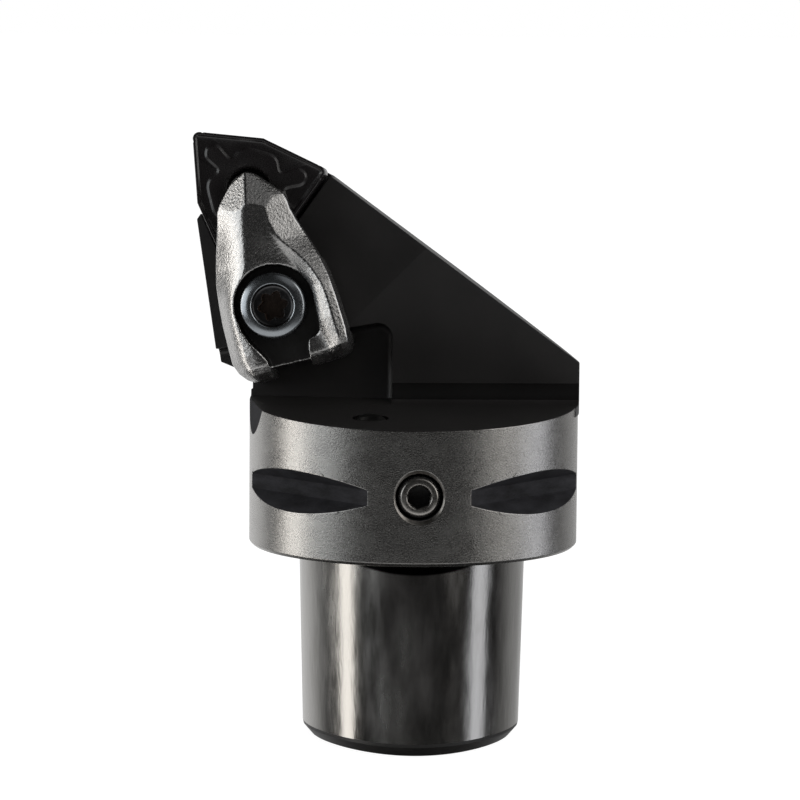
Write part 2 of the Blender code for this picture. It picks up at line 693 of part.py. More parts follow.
def clamp_half_width(s):
    """Half width of the clamp at s along its axis, from the tail to the nose."""
    full = CLAMP_WIDTH / 2
    tip_start = CLAMP_NOSE - CLAMP_NOSE_TIP
    if s > tip_start:
        return CLAMP_NOSE_WIDTH / 2 * math.sqrt(max(0, 1 - ((s - tip_start) / CLAMP_NOSE_TIP) ** 2))
    tail_start = TAIL_TIP_ROUND - CLAMP_TAIL
    if s < tail_start:
        rest = TAIL_TIP_ROUND ** 2 - (s - tail_start) ** 2
        return full - TAIL_TIP_ROUND + math.sqrt(max(0, rest))
    shape = [(tail_start, full), (-0.001, full * 0.98), (CLAMP_NOSE * 0.22, full * 0.93),
             (CLAMP_NOSE * 0.36, full * 0.85), (CLAMP_NOSE * 0.49, full * 0.755),
             (CLAMP_NOSE * 0.64, full * 0.645), (CLAMP_NOSE * 0.74, full * 0.597),
             (CLAMP_NOSE * 0.80, full * 0.54), (tip_start, CLAMP_NOSE_WIDTH / 2)]
    return blend(shape, s)


def clamp_middle(s):
    """The clamp's middle line runs beside its screw and meets the axis at the nose."""
    return CLAMP_OFF * (1 - s / CLAMP_NOSE)


def clamp_section(s):
    """Top of the clamp across its width at s: two ridges with a valley between them."""
    half = max(clamp_half_width(s), 0.0002)
    split = CLAMP_NOSE * 0.78
    tail = -CLAMP_TAIL
    ridge = blend([(tail, CLAMP_TAIL_H), (-0.004, CLAMP_RIDGE_H), (0.004, CLAMP_RIDGE_H),
                   (split, CLAMP_SPLIT_H), (CLAMP_NOSE, CLAMP_TIP_H)], s)
    edge = blend([(tail, CLAMP_EDGE_H * 0.9), (0, CLAMP_EDGE_H), (split, CLAMP_EDGE_H * 0.8),
                  (CLAMP_NOSE, CLAMP_TIP_H * 0.6)], s)
    spread = blend([(tail, 0.62), (0.0, 0.66), (split * 0.8, 0.5), (split, 0.04), (CLAMP_NOSE, 0.02)], s)
    drop = blend([(tail, CLAMP_VALLEY_DROP), (0.006, CLAMP_VALLEY_DROP), (split, 0.00001),
                  (CLAMP_NOSE, 0.00001)], s)
    top = []
    steps = 5
    for k in range(steps + 1):
        f = k / steps
        t = 1 - (1 - spread) * f
        top.append((half * t, edge + (ridge - edge) * math.sin(f * math.pi / 2)))
    for k in range(1, 4):
        f = k / 3
        top.append((half * spread * (1 - f), ridge - drop * math.sin(f * math.pi / 2)))
    left = [(-t, h) for t, h in top[-2::-1]]
    return top + left


def make_clamp():
    """Forged clamp: nose over the insert, recess for the screw, open tail between two legs."""
    stations = 44
    rings = []
    for k in range(stations + 1):
        s = -CLAMP_TAIL + (CLAMP_NOSE + CLAMP_TAIL) * (0.5 - 0.5 * math.cos(math.pi * k / stations))
        top = clamp_section(s)
        half = top[0][0]
        section = top + [(-half, HEEL_BOTTOM_H), (half, HEEL_BOTTOM_H)]
        skew = CLAMP_TAIL_SKEW * max(0, -s / CLAMP_TAIL)
        rings.append([(clamp_middle(s) + t, s + skew * t, h) for t, h in section])
    clamp = loft("clamp", rings, CLAMP_AXIS, CLAMP_STEEL)

    wide = CLAMP_WIDTH
    under_nose = box("under_nose", (-wide, CLAMP_BELLY_START, HEEL_BOTTOM_H * 2), (wide, wide * 2, GAP),
                     CLAMP_AXIS)
    under_belly = box("under_belly", (-wide, -HEEL_START, HEEL_BOTTOM_H * 2),
                      (wide, CLAMP_BELLY_START + GAP, CLAMP_BELLY_H), CLAMP_AXIS)
    recess = cylinder("screw_recess", RECESS_D / 2, RECESS_FLOOR_H, FAR / 4, CLAMP_AXIS,
                      steps=ROUND_BORE)
    recess.location = (RECESS_OFF, 0, 0)
    left = CLAMP_OFF - TAIL_SLOT_WIDTH / 2
    right = CLAMP_OFF + TAIL_SLOT_WIDTH / 2
    tail_slot = box("tail_slot", (left, -wide, RECESS_FLOOR_H), (right, 0, FAR / 4), CLAMP_AXIS)
    tail_end = box("tail_end", (left, -wide, -FAR / 4), (right, -TAIL_EDGE, FAR / 4), CLAMP_AXIS)
    heel_gap = box("heel_gap", (left, -wide, -FAR / 4), (right, -HEEL_START + GAP, CLAMP_BELLY_H),
                   CLAMP_AXIS)
    screw_hole = cylinder("clamp_hole", CLAMP_SCREW_D / 2 + GAP, HEEL_BOTTOM_H * 2, FAR / 4, CLAMP_AXIS)
    for tool in (under_nose, under_belly, recess, tail_slot, tail_end, heel_gap, screw_hole):
        cut(clamp, tool)
    nose_at = clamp_nose_place()
    pin = cylinder("nose_pin", NOSE_PIN_D / 2, -NOSE_PIN_LENGTH, CLAMP_TIP_H / 2, CLAMP_AXIS,
                   steps=ROUND_SMALL)
    pin.location = (nose_at.x, nose_at.y, 0)
    within = cylinder("pin_limit", NOSE_PIN_D / 2 - WALL_GAP, -NOSE_PIN_LENGTH * 2, GAP * 2, CLAMP_AXIS)
    within.location = pin.location
    cut(pin, within, "INTERSECT")
    cut(clamp, pin, "UNION")
    smooth(clamp)


def clamp_nose_place():
    """Centre of the insert's hole in the clamp's own frame."""
    return CLAMP_AXIS.matrix_world.inverted() @ CENTRE.matrix_world.translation


def make_clamp_screw():
    radius = CLAMP_SCREW_D / 2
    head = CLAMP_HEAD_D / 2
    foot = RECESS_FLOOR_H + GAP
    top = foot + CLAMP_HEAD_H
    dish = CLAMP_DISH_D / 2
    dished = top - CLAMP_DISH_DEPTH
    screw = turned("clamp_screw", [(0, dished), (dish - CLAMP_DISH_DEPTH, dished),
                                   (dish, top), (head - CLAMP_HEAD_BEVEL * 2, top),
                                   (head, top - CLAMP_HEAD_BEVEL), (head, foot), (radius, foot),
                                   (radius, CLAMP_SCREW_END_H + GAP), (radius - GAP, CLAMP_SCREW_END_H),
                                   (0, CLAMP_SCREW_END_H)],
                   CLAMP_AXIS, SCREW_STEEL, steps=ROUND_BORE)
    socket = prism("clamp_screw_socket", lobes(CLAMP_SOCKET_D), top - CLAMP_SOCKET_DEPTH, top + GAP,
                   CLAMP_AXIS)
    cut(screw, socket)
    smooth(screw)


def make_spring():
    """Coil spring round the clamp screw, which lifts the clamp when the screw is slackened."""
    curve = bpy.data.curves.new("clamp_spring", "CURVE")
    curve.dimensions = "3D"
    curve.bevel_depth = SPRING_WIRE / 2
    curve.bevel_resolution = 2
    curve.use_fill_caps = True
    low = SPRING_SEAT_H + GAP + SPRING_WIRE / 2
    high = CLAMP_BELLY_H - GAP - SPRING_WIRE / 2
    radius = (SPRING_D - SPRING_WIRE) / 2
    count = SPRING_TURNS * 18
    spline = curve.splines.new("POLY")
    spline.points.add(count)
    for k, point in enumerate(spline.points):
        turn = math.tau * SPRING_TURNS * k / count
        point.co = (radius * math.cos(turn), radius * math.sin(turn), low + (high - low) * k / count, 1)
    obj = bpy.data.objects.new("clamp_spring", curve)
    obj.parent = CLAMP_AXIS
    PARTS.objects.link(obj)
    curve.materials.append(SPRING_STEEL)


def make_plug():
    """Hexagon socket set screw that closes the cross drilling in the flange."""
    front = FLANGE_R - PLUG_SINK
    radius = PLUG_D / 2
    plug = turned("coolant_plug_screw", [(0, front), (radius - 2 * GAP, front), (radius, front - 2 * GAP),
                                         (radius, front - PLUG_LENGTH + GAP),
                                         (radius - GAP, front - PLUG_LENGTH), (0, front - PLUG_LENGTH)],
                  TOOL, DARK_SCREW, steps=ROUND_SMALL)
    plug.location = (0, 0, FLANGE_Z + PLUG_Z)
    plug.rotation_euler = (math.pi / 2, 0, 0)
    socket = prism("plug_socket", hexagon(PLUG_HEX), front - PLUG_HEX_DEPTH, front + GAP, TOOL)
    socket.location = plug.location
    socket.rotation_euler = plug.rotation_euler
    cut(plug, socket)
    smooth(plug)


def make_nozzle():
    """Ball nozzle in the shelf, its jet aimed at the cutting corner."""
    centre = nozzle_centre()
    ball = sphere("coolant_nozzle", NOZZLE_BALL_D / 2, centre, NOZZLE_STEEL, cutter=False)
    tip = Vector((-TIP_REACH, 0, FLANGE_Z + TIP_HEIGHT))
    jet = cylinder("nozzle_jet", NOZZLE_JET_D / 2, -NOZZLE_BALL_D, NOZZLE_BALL_D, TOOL,
                   steps=ROUND_SMALL // 2)
    jet.location = centre
    jet.rotation_mode = "QUATERNION"
    jet.rotation_quaternion = (tip - centre).to_track_quat("Z", "Y")
    cut(ball, jet)
    smooth(ball)


make_body()
make_insert()
make_shim()
make_shim_screw()
make_clamp()
make_clamp_screw()
make_spring()
make_plug()
make_nozzle()
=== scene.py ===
"""Turning tool holder with a polygonal taper shank, dressed and lit for its picture."""
import math

import bmesh
import bpy
import numpy as np
from mathutils import Matrix, Vector


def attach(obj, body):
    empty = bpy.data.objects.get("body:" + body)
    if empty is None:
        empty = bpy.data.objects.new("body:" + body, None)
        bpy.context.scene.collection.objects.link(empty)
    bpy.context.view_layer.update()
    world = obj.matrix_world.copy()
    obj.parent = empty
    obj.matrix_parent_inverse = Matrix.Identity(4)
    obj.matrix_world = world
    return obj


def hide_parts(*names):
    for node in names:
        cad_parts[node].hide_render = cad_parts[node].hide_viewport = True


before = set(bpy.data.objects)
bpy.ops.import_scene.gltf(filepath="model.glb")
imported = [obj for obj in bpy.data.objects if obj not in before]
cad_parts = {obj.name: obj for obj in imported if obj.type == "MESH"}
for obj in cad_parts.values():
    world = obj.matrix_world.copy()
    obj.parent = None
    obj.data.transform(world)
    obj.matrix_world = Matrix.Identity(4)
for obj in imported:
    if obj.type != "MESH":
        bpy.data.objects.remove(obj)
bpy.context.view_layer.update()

# The studio: a white table and backdrop, and a dark room behind the camera. An upright strip lamp
# and a broad wing lamp light each side, and a weak panel hangs above. The camera stands half a
# metre off, turned, dipped and rolled as the photo's was. The tool stands on its shank's end.
tool_axis_x = 0.0035
view_turn, view_dip, view_roll = math.radians(-2), 0.1163, 0.008
camera_place = (-0.00169, -0.5, 0.0999)
camera_data = bpy.data.cameras.new("photo_camera")
camera_data.sensor_width = 36
camera_data.lens = 185.85
camera_data.clip_start = 0.01
camera = bpy.data.objects.new("photo_camera", camera_data)
camera.matrix_world = (Matrix.Translation((tool_axis_x, 0, 0)) @ Matrix.Rotation(view_turn, 4, "Z")
                       @ Matrix.Translation(camera_place) @ Matrix.Rotation(math.pi / 2 - view_dip, 4, "X")
                       @ Matrix.Rotation(view_roll, 4, "Z"))
bpy.context.scene.collection.objects.link(camera)
bpy.context.scene.camera = camera
bpy.context.scene.view_settings.view_transform = "Standard"


def link(tree, kind, settings=(), **inputs):
    """Add a shader node, set it up, and feed its inputs with values or with other nodes' outputs."""
    made = tree.nodes.new("ShaderNode" + kind)
    for key, value in dict(settings).items():
        setattr(made, key, value)
    for key, value in inputs.items():
        socket = made.inputs[key.replace("_", " ")]
        if isinstance(value, bpy.types.NodeSocket):
            tree.links.new(value, socket)
        else:
            socket.default_value = value
    return made


def maths(tree, operation, one, two=0.0, clamp=False):
    """A maths node of two values."""
    made = tree.nodes.new("ShaderNodeMath")
    made.operation = operation
    made.use_clamp = clamp
    for socket, value in zip(made.inputs, (one, two)):
        if isinstance(value, bpy.types.NodeSocket):
            tree.links.new(value, socket)
        else:
            socket.default_value = value
    return made.outputs[0]


def fade(tree, value, start, end, low, high):
    """Pass softly from low to high while the value goes from start to end."""
    return link(tree, "MapRange", {"interpolation_type": "SMOOTHSTEP"}, Value=value, From_Min=start,
                From_Max=end, To_Min=low, To_Max=high).outputs[0]


def blend_shaders(tree, share, plain, chosen):
    """The plain shader where the share is 0, and the chosen one where it is 1."""
    mixer = tree.nodes.new("ShaderNodeMixShader")
    for socket, source in zip(mixer.inputs, (share, plain, chosen)):
        tree.links.new(source, socket)
    return mixer.outputs[0]


world = bpy.data.worlds.new("studio_room")
bpy.context.scene.world = world
world.use_nodes = True
room = world.node_tree
room.nodes.clear()
rays = link(room, "LightPath")
toward = link(room, "SeparateXYZ", Vector=link(room, "TexCoord").outputs["Generated"])
right, back, high = (toward.outputs[k] for k in "XYZ")
# The back wall is bright at eye height and dims to the right. In front there is only the table's
# glow from below, which the tool's own shade takes away close to its foot.
behind = fade(room, back, 0.32, 0.82, 0.018, 0.85)
at_eye_height = fade(room, maths(room, "ABSOLUTE", high), 0.38, 0.68, 1.0, 0.03)
to_right = link(room, "MapRange", Value=right, From_Min=0.0, From_Max=0.5, To_Min=1.0, To_Max=0.5)
back_wall = maths(room, "MULTIPLY", behind, maths(room, "MULTIPLY", at_eye_height, to_right.outputs[0]))
below = fade(room, high, 0.05, -0.15, 0.0, 0.018)
near_table = fade(room, high, -0.28, -0.55, 0.0, 0.6)
ahead = fade(room, back, 0.1, -0.3, 0.1, 1.0)
out_of_shade = fade(room, high, -0.7, -0.88, 1.0, 0.03)
table_glow = maths(room, "MULTIPLY", maths(room, "MULTIPLY", near_table, ahead), out_of_shade)
mirrored = maths(room, "ADD", back_wall, maths(room, "ADD", below, table_glow))
mirror_room = link(room, "Background", Color=(1, 1, 1, 1), Strength=mirrored)
soft_room = link(room, "Background", Color=(1, 1, 1, 1), Strength=0.45)
white_room = link(room, "Background", Color=(1, 1, 1, 1), Strength=1.0)
shiny = maths(room, "MAXIMUM", rays.outputs["Is Glossy Ray"], rays.outputs["Is Transmission Ray"])
unseen = blend_shaders(room, shiny, soft_room.outputs[0], mirror_room.outputs[0])
seen = blend_shaders(room, rays.outputs["Is Camera Ray"], unseen, white_room.outputs[0])
room.links.new(seen, link(room, "OutputWorld").inputs["Surface"])
lamp_distance, lamp_aim_height = 0.7, 0.04


def softbox(name, turn, lift, wide, tall, brightness, tint=(1, 1, 1)):
    """A lamp panel turn degrees round from the camera's side and lift degrees up, aimed at the tool."""
    data = bpy.data.lights.new(name, "AREA")
    data.shape = "RECTANGLE"
    data.size, data.size_y = wide, tall
    data.energy = brightness * 4 * wide * tall
    data.color = tint
    lamp = bpy.data.objects.new(name, data)
    a, b = math.radians(turn), math.radians(lift)
    away = Vector((math.sin(a) * math.cos(b), -math.cos(a) * math.cos(b), math.sin(b)))
    lamp.location = Vector((tool_axis_x, 0, lamp_aim_height)) + away * lamp_distance
    lamp.rotation_euler = away.to_track_quat("Z", "Y").to_euler()
    bpy.context.scene.collection.objects.link(lamp)


softbox("left_strip", -94.5, -12, 0.16, 1.2, 2.5, (1, 0.97, 0.93))
softbox("left_wing", -70, 10, 0.44, 0.48, 1.05, (0.95, 0.98, 1))
softbox("right_strip", 93, 0, 0.20, 1.2, 1.25, (0.92, 0.94, 1))
softbox("right_wing", 65, 21, 0.42, 0.76, 0.96, (1, 0.985, 0.96))
softbox("top_panel", 25, 52, 0.40, 0.40, 0.15)

table_half, table_drop = 3, -0.0001
table_mesh = bpy.data.meshes.new("table")
table_mesh.from_pydata([(x * table_half, y * table_half, table_drop)
                        for x, y in ((-1, -1), (1, -1), (1, 1), (-1, 1))], [], [(0, 1, 2, 3)])
table = bpy.data.objects.new("table", table_mesh)
bpy.context.scene.collection.objects.link(table)
table.visible_glossy = False
white_table = bpy.data.materials.new("white_table")
white_table.use_nodes = True
top = white_table.node_tree
top.nodes.clear()
paper = link(top, "BsdfDiffuse", Color=(0.92, 0.92, 0.92, 1))
glow = link(top, "Emission", Color=(1, 1, 1, 1), Strength=1.3)
glow_share = maths(top, "MULTIPLY", link(top, "LightPath").outputs["Is Camera Ray"], 0.72)
top.links.new(blend_shaders(top, glow_share, paper.outputs[0], glow.outputs[0]),
              link(top, "OutputMaterial").inputs["Surface"])
table_mesh.materials.append(white_table)

# The holder's body is one piece of hardened steel: shank, flange and head are turned and milled from
# bar, blacked all over, and then the flange's rim and the shank are ground bright.
# Sizes are in millimetres from here on, and a finished piece is brought to metres.
MM = 0.001
tool = Matrix.Translation((tool_axis_x / MM, 0, 0))
shank_mean, shank_lobe, shank_taper, shank_length = 27.5, 0.9, 1 / 20, 24.0
flange_r, flange_top = 20.0, 40.1
slot_height, slot_turn, slot_floor_half, plug_height = 32.1, 48.6, 0.9, 32.25
shelf_slope, shelf_fillet, head_front = math.radians(4.1), 2.5, -1.4
head_r, head_drop, head_depth, head_slope = 20.13, 3.0, 33.0, math.radians(36.3)
# The insert's seat is tilted twice; its corner is the tool's cutting point
seat_tilt, tip_reach, tip_height = math.radians(6), 27.0, 74.0
seat = (tool @ Matrix.Translation((-tip_reach, 0, tip_height)) @ Matrix.Rotation(-seat_tilt, 4, "Z")
        @ Matrix.Rotation(math.pi / 2 - seat_tilt, 4, "X"))
insert_r, insert_nose, insert_thick, shim_thick = 6.35, 0.8, 4.76, 4.76
corner_half, corner_aim = math.radians(40), math.radians(135)
centre_reach = insert_nose + (insert_r - insert_nose) / math.sin(corner_half) * math.cos(math.pi / 4)
centre = seat @ Matrix.Translation((centre_reach, -centre_reach, 0))
clamp_lean = math.radians(13.5)
clamp_axis = seat @ Matrix.Translation((10.4, -20.9, 0)) @ Matrix.Rotation(clamp_lean, 4, "Z")
plug_axis = tool @ Matrix.Translation((0, 0, plug_height)) @ Matrix.Rotation(math.pi / 2, 4, "X")
nozzle_ball = 3.2
nozzle_at = Vector((-5.6, -11.5, flange_top + 8.5 * math.tan(shelf_slope) + 0.5 - 2.9))


def solid(name, points, faces, place):
    """A mesh in millimetres, set in place in the row's frame."""
    mesh = bpy.data.meshes.new(name)
    mesh.from_pydata([place @ Vector(point) for point in points], [], faces)
    obj = bpy.data.objects.new(name, mesh)
    bpy.context.scene.collection.objects.link(obj)
    work = bmesh.new()
    work.from_mesh(mesh)
    bmesh.ops.recalc_face_normals(work, faces=work.faces)
    work.to_mesh(mesh)
    work.free()
    return obj


def skin(name, rings, place=tool, closed=False):
    """Join rings of points into a skin; a ring of one point is a tip. Ends are closed by flat faces."""
    points, rows, faces = [], [], []
    for ring in rings:
        rows.append(range(len(points), len(points) + len(ring)))
        points += ring
    count = max(len(row) for row in rows)
    pairs = list(zip(rows, rows[1:] + rows[:1] if closed else rows[1:]))
    for one, two in pairs:
        for k in range(count):
            j = (k + 1) % count
            loop = [one[k % len(one)], one[j % len(one)], two[j % len(two)], two[k % len(two)]]
            faces.append(tuple(dict.fromkeys(loop)))
    if not closed:
        faces += [tuple(row) for row in (rows[0], rows[-1]) if len(row) > 2]
    return solid(name, points, faces, place)


def lathe(name, profile, place=tool, steps=192):
    """Turn a profile of (radius, height) points round the local upright axis."""
    rings = []
    for radius, height in profile:
        turns = [math.tau * k / steps for k in range(steps)] if radius > 0 else [0]
        rings.append([(radius * math.cos(a), radius * math.sin(a), height) for a in turns])
    return skin(name, rings, place)


def slab(name, outline, low, high, place=tool):
    """A plate of a flat outline between two heights."""
    return skin(name, [[(x, y, z) for x, y in outline] for z in (low, high)], place)


def block(name, low, high, place=tool):
    """A cutter with six flat sides, from its lowest to its highest corner."""
    (a, b, c), (d, e, f) = low, high
    return slab(name, [(a, b), (d, b), (d, e), (a, e)], c, f, place)


def settle(obj):
    """Make the shape that the modifiers give into the object's own mesh."""
    graph = bpy.context.evaluated_depsgraph_get()
    mesh = bpy.data.meshes.new_from_object(obj.evaluated_get(graph))
    obj.modifiers.clear()
    obj.data = mesh


def carve(stock, tools, operation="DIFFERENCE"):
    """Cut the stock with each tool, or join them to it, and clear the tools away."""
    for tool_piece in tools:
        cut = stock.modifiers.new(tool_piece.name, "BOOLEAN")
        cut.operation = operation
        cut.solver = "EXACT"
        cut.object = tool_piece
    settle(stock)
    for tool_piece in tools:
        bpy.data.objects.remove(tool_piece, do_unlink=True)
    return stock


def break_edges(obj, width, steps=2, angle=28, crease=40):
    """Take the sharp edges off with a small bevel, and shade the faces smooth up to their edges."""
    bevel = obj.modifiers.new("broken edges", "BEVEL")
    bevel.width = width
    bevel.segments = steps
    bevel.limit_method = "ANGLE"
    bevel.angle_limit = math.radians(angle)
    bevel.use_clamp_overlap = False
    bevel.miter_outer = "MITER_ARC"
    bevel.harden_normals = False
    settle(obj)
    obj.data.shade_smooth()
    obj.data.set_sharp_from_angle(angle=math.radians(crease))


def give_finishes(obj, *finishes):
    """Give a piece its materials, in the order of their face numbers."""
    obj.data.materials.clear()
    for finish in finishes:
        obj.data.materials.append(finish)


def finish_piece(obj, name, node):
    """Bring the piece to metres, tie it to the tool's body, and hide its CAD node."""
    obj.data.transform(Matrix.Scale(MM, 4))
    obj.name = obj.data.name = name
    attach(obj, "root")
    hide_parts(node)


def steps_between(low, high, pitch):
    """Even places from low to high, no further apart than pitch."""
    count = max(1, math.ceil((high - low) / pitch))
    return [low + (high - low) * k / count for k in range(count + 1)]


def shank_ring(mean, height, count=300):
    """Section of the shank: a rounded three-lobed polygon with one lobe to the front."""
    ring = []
    for k in range(count):
        g = math.tau * k / count
        u = mean / 2 * math.cos(g) - shank_lobe * math.cos(2 * g)
        v = mean / 2 * math.sin(g) + shank_lobe * math.sin(2 * g)
        ring.append((-v, u, height))
    return ring


def on_head_face(x, z):
    """Seat coordinates of the point of the head's tilted front that shows at x, z from the front."""
    frame_of = tool.inverted() @ seat
    across, up, out = (frame_of.col[k].xyz for k in range(3))
    start = frame_of.translation - out * head_drop
    dx, dz = x - start.x, z - start.z
    det = across.x * up.z - up.x * across.z
    return ((dx * up.z - up.x * dz) / det, (across.x * dz - dx * across.z) / det)


def trigon(inscribed, nose, nose_steps=12):
    """Outline of the insert's three-cornered form about its centre, with rounded noses."""
    points = []
    normal_turn = math.pi / 2 - corner_half
    reach = (inscribed - nose) / math.sin(corner_half)
    waist_reach = inscribed / math.cos(math.pi / 3 - normal_turn)
    for corner in range(3):
        aim = corner_aim + corner * math.tau / 3
        for step in range(nose_steps + 1):
            turn = aim + normal_turn * (2 * step / nose_steps - 1)
            points.append((reach * math.cos(aim) + nose * math.cos(turn),
                           reach * math.sin(aim) + nose * math.sin(turn)))
        waist = aim + math.pi / 3
        points.append((waist_reach * math.cos(waist), waist_reach * math.sin(waist)))
    return points


def make_head():
    """Front outline carried back, trimmed to the round of the bar and to the slope behind."""
    start_x, start_z, end = -11.2, 69.4, flange_r * 1.1
    outline = [(start_x, start_z), (end, start_z - (end - start_x) * math.tan(head_slope)), (end, 34.0),
               (-flange_r, 34.0), (-flange_r, 44.0), (-21.6, 45.2), (-23.9, 46.1), (-26.5, 63.3)]
    outline = [on_head_face(x, z) for x, z in outline]
    inner = insert_r - 1.1
    waist = inner / math.cos(math.pi / 3 - (math.pi / 2 - corner_half))
    for radius, turn in ((waist, 195), (inner / math.sin(corner_half), 135), (waist, 75)):
        a = math.radians(turn)
        outline.append((centre_reach + radius * math.cos(a), -centre_reach + radius * math.sin(a)))
    head = slab("head", outline, -head_depth, -head_drop, seat)
    back_x, back_y, start = -30.0, 14.0, math.radians(-24)
    touch = math.atan2(back_y, back_x) - math.acos(head_r / math.hypot(back_x, back_y))
    plan = [(back_x, head_r * math.sin(start))]
    round_steps = 96
    for k in range(round_steps + 1):
        a = start + (touch - start) * k / round_steps
        plan.append((head_r * math.cos(a), head_r * math.sin(a)))
    plan.append((back_x, back_y))
    carve(head, [slab("round", plan, flange_top, 79.0)], "INTERSECT")
    lean = tool @ Matrix.Translation((0, flange_r, 52.0)) @ Matrix.Rotation(math.radians(12.8), 4, "X")
    return carve(head, [block("back", (-60, 0, -15), (60, 30, 60), lean)])


def make_shelf():
    """Cutter for the sloping shelf, the fillet behind it and the head's upright front."""
    rise = lambda y: flange_top + (y + flange_r) * math.tan(shelf_slope)
    mid_y = head_front - shelf_fillet
    mid_z = rise(mid_y) + shelf_fillet / math.cos(shelf_slope)
    section = [(-30, rise(-30))]
    fillet_steps = 24
    for k in range(fillet_steps + 1):
        a = -math.pi / 2 + shelf_slope + (math.pi / 2 - shelf_slope) * k / fillet_steps
        section.append((mid_y + shelf_fillet * math.cos(a), mid_z + shelf_fillet * math.sin(a)))
    section += [(head_front, 84), (-30, 84)]
    upright = tool @ Matrix.Rotation(math.pi / 2, 4, "Z") @ Matrix.Rotation(math.pi / 2, 4, "X")
    return slab("shelf", section, -30, 30, upright)


def make_body_cutters():
    """Insert pocket, screw holes, heel pocket, run-out facet, slots, bore and coolant holes."""
    floor = -insert_thick - shim_thick - 0.9
    cutters = [slab("insert_pocket", trigon(insert_r + 0.4, insert_nose), floor, 15, centre),
               lathe("shim_screw_hole", [(0, floor + 0.3), (2.8, floor + 0.3), (2.8, floor - 4.5),
                                         (0, floor - 4.5)], centre, 64),
               lathe("clamp_screw_hole", [(0, 15), (4.8, 15), (4.8, -6.6), (3.3, -6.6), (3.3, -15.3),
                                          (0, -17)], clamp_axis, 64)]
    # The heel pocket: an upper edge nearly along the clamp, and a side wall upright on the shank
    flank, tilt = 7.95, math.tan(math.radians(3.6))
    top_edge = lambda t: -4.4 + (flank - t) * tilt
    side = lambda s: 14.3 + s * math.tan(clamp_lean)
    corner_s = top_edge(14.3) - 1.1
    corner_t = side(corner_s) - 1.1
    heel = slab("heel_pocket", [(-60, top_edge(-60)), (-60, -60), (side(-60), -60),
                                (side(corner_s), corner_s), (corner_t, top_edge(corner_t))],
                -6.5, 15, clamp_axis)
    round_off = heel.modifiers.new("mill corner", "BEVEL")
    round_off.width, round_off.segments, round_off.limit_method = 1.5, 8, "ANGLE"
    settle(heel)
    keep = (tool @ Matrix.Translation((0, -flange_r, flange_top + 0.04))
            @ Matrix.Rotation(shelf_slope, 4, "X"))
    cutters.append(carve(heel, [block("above_shelf", (-60, -60, -60), (60, 60, 0), keep)]))
    run_out = (tool @ Matrix.Translation((-flange_r, 0, 41.2)) @ Matrix.Rotation(math.radians(11.4), 4, "Z")
               @ Matrix.Rotation(math.radians(6.5), 4, "Y"))
    cutters.append(block("left_facet", (-15, -30, -15), (0, 5, 3), run_out))
    # Four gripper slots, each a flat groove with flaring sides across the rim
    floor_y, out_y, half = flange_r * math.cos(math.radians(30.8)), flange_r * 1.1, slot_floor_half
    flare = (out_y - floor_y) * math.tan(math.radians(30))
    section = [(floor_y, -half), (out_y, -half - flare), (out_y, half + flare), (floor_y, half)]
    for side_turn in (-90, 90):
        for turn in (-slot_turn, slot_turn):
            place = (tool @ Matrix.Translation((0, 0, slot_height))
                     @ Matrix.Rotation(math.radians(turn + side_turn), 4, "Z")
                     @ Matrix.Rotation(math.pi / 2, 4, "X"))
            cutters.append(slab("slot", section, -20, 20, place))
    cutters.append(lathe("bore", [(0, 35), (3, 32), (3, 30.2), (6.2, 27), (6.2, 16), (9, 16), (9, 12),
                                  (10.5, 10.5), (10.5, 7.5), (9, 6), (9, 0.8), (10.1, -0.3), (0, -0.3)]))
    cutters.append(lathe("plug_hole", [(0, 22), (3.25, 22), (3.25, 20), (2.8, 19.55), (2.8, 13.3),
                                       (1.8, 13.3), (1.8, 0), (0, 0)], plug_axis, 64))
    ball = [(nozzle_ball * math.sin(a), nozzle_ball * math.cos(a))
            for a in (math.pi * k / 24 for k in range(1, 24))]
    cutters.append(lathe("nozzle_seat", [(0, nozzle_ball)] + ball + [(0, -nozzle_ball)],
                         tool @ Matrix.Translation(nozzle_at), 64))
    return cutters


mean_at = lambda z: shank_mean - (shank_length - z) * shank_taper
shank_rings = [shank_ring(mean_at(0) - 2.2, 0), shank_ring(mean_at(1.2) - 0.18, 1.2),
               shank_ring(mean_at(1.6), 1.6)]
shank_rings += [shank_ring(mean_at(z), z) for z in steps_between(2.0, 23.0, 0.75)]
shank_rings += [shank_ring(mean_at(23) - 0.6, 23.3), shank_ring(mean_at(23) - 0.6, 23.7),
                shank_ring(shank_mean, shank_length), shank_ring(shank_mean, shank_length + 0.3)]
body = skin("body", shank_rings)
rim = [(0, 42.5)] + [(flange_r, z) for z in steps_between(24.4, 42.5, 0.6)[::-1]]
flange = lathe("flange", rim + [(flange_r - 0.4, shank_length), (0, shank_length)], steps=240)
carve(body, [flange, make_head()], "UNION")
carve(body, [make_shelf()])
carve(body, make_body_cutters())


def effect(name, inputs, outputs):
    """Start a shader node group with named inputs (name, kind, value) and outputs (name, kind)."""
    tree = bpy.data.node_groups.new(name, "ShaderNodeTree")
    for label, kind, value in inputs:
        socket = tree.interface.new_socket(name=label, in_out="INPUT", socket_type="NodeSocket" + kind)
        socket.default_value = value
    for label, kind in outputs:
        tree.interface.new_socket(name=label, in_out="OUTPUT", socket_type="NodeSocket" + kind)
    return tree, tree.nodes.new("NodeGroupInput").outputs, tree.nodes.new("NodeGroupOutput").inputs


